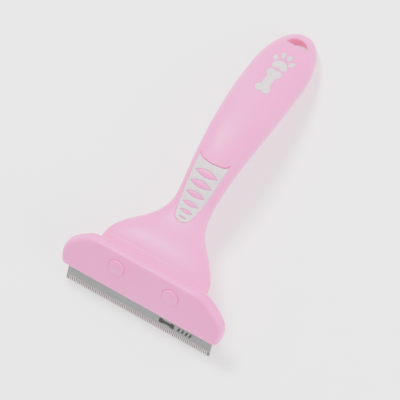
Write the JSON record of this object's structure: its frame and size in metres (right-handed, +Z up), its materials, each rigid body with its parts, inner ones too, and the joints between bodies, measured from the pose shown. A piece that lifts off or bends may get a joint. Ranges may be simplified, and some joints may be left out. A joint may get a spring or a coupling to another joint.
{
  "type": "deshedding comb",
  "caption": "Pet deshedding comb: a wide fine-toothed steel blade clamped in a rounded head on an arched plastic handle with a soft thumb inlay and a hanging slot.",
  "frame": {"origin": "on the supporting surface, under the middle of the whole tool as it lies on its tooth tips and the underside of its handle tip", "axes": "+X along the blade, to the right of the front face with the handle up; +Y from the teeth to the handle tip; +Z up, out of the front of the handle"},
  "size_m": [0.1008, 0.1822, 0.0399],
  "materials": {
    "pink_plastic": "smooth satin moulding",
    "grey_inlay": "soft matt moulding",
    "blade_steel": "brushed, ground at the teeth",
    "screw_steel": "zinc plated"
  },
  "bodies": {
    "root": {"blade": "blade_steel", "head_front_cover": "pink_plastic", "head_rear_cover": "pink_plastic", "blade_screw_left": "screw_steel", "blade_screw_right": "screw_steel", "screw_cap_left": "pink_plastic", "screw_cap_right": "pink_plastic", "handle_front_shell": "pink_plastic", "handle_rear_shell": "pink_plastic", "grip_inlay": "grey_inlay", "bone_inlay": "grey_inlay", "paw_pad_inlay": "grey_inlay", "paw_toe_inlay_1": "grey_inlay", "paw_toe_inlay_2": "grey_inlay", "paw_toe_inlay_3": "grey_inlay", "paw_toe_inlay_4": "grey_inlay", "handle_screw_1": "screw_steel", "handle_screw_2": "screw_steel", "handle_screw_3": "screw_steel"}
  },
  "joints": []
}
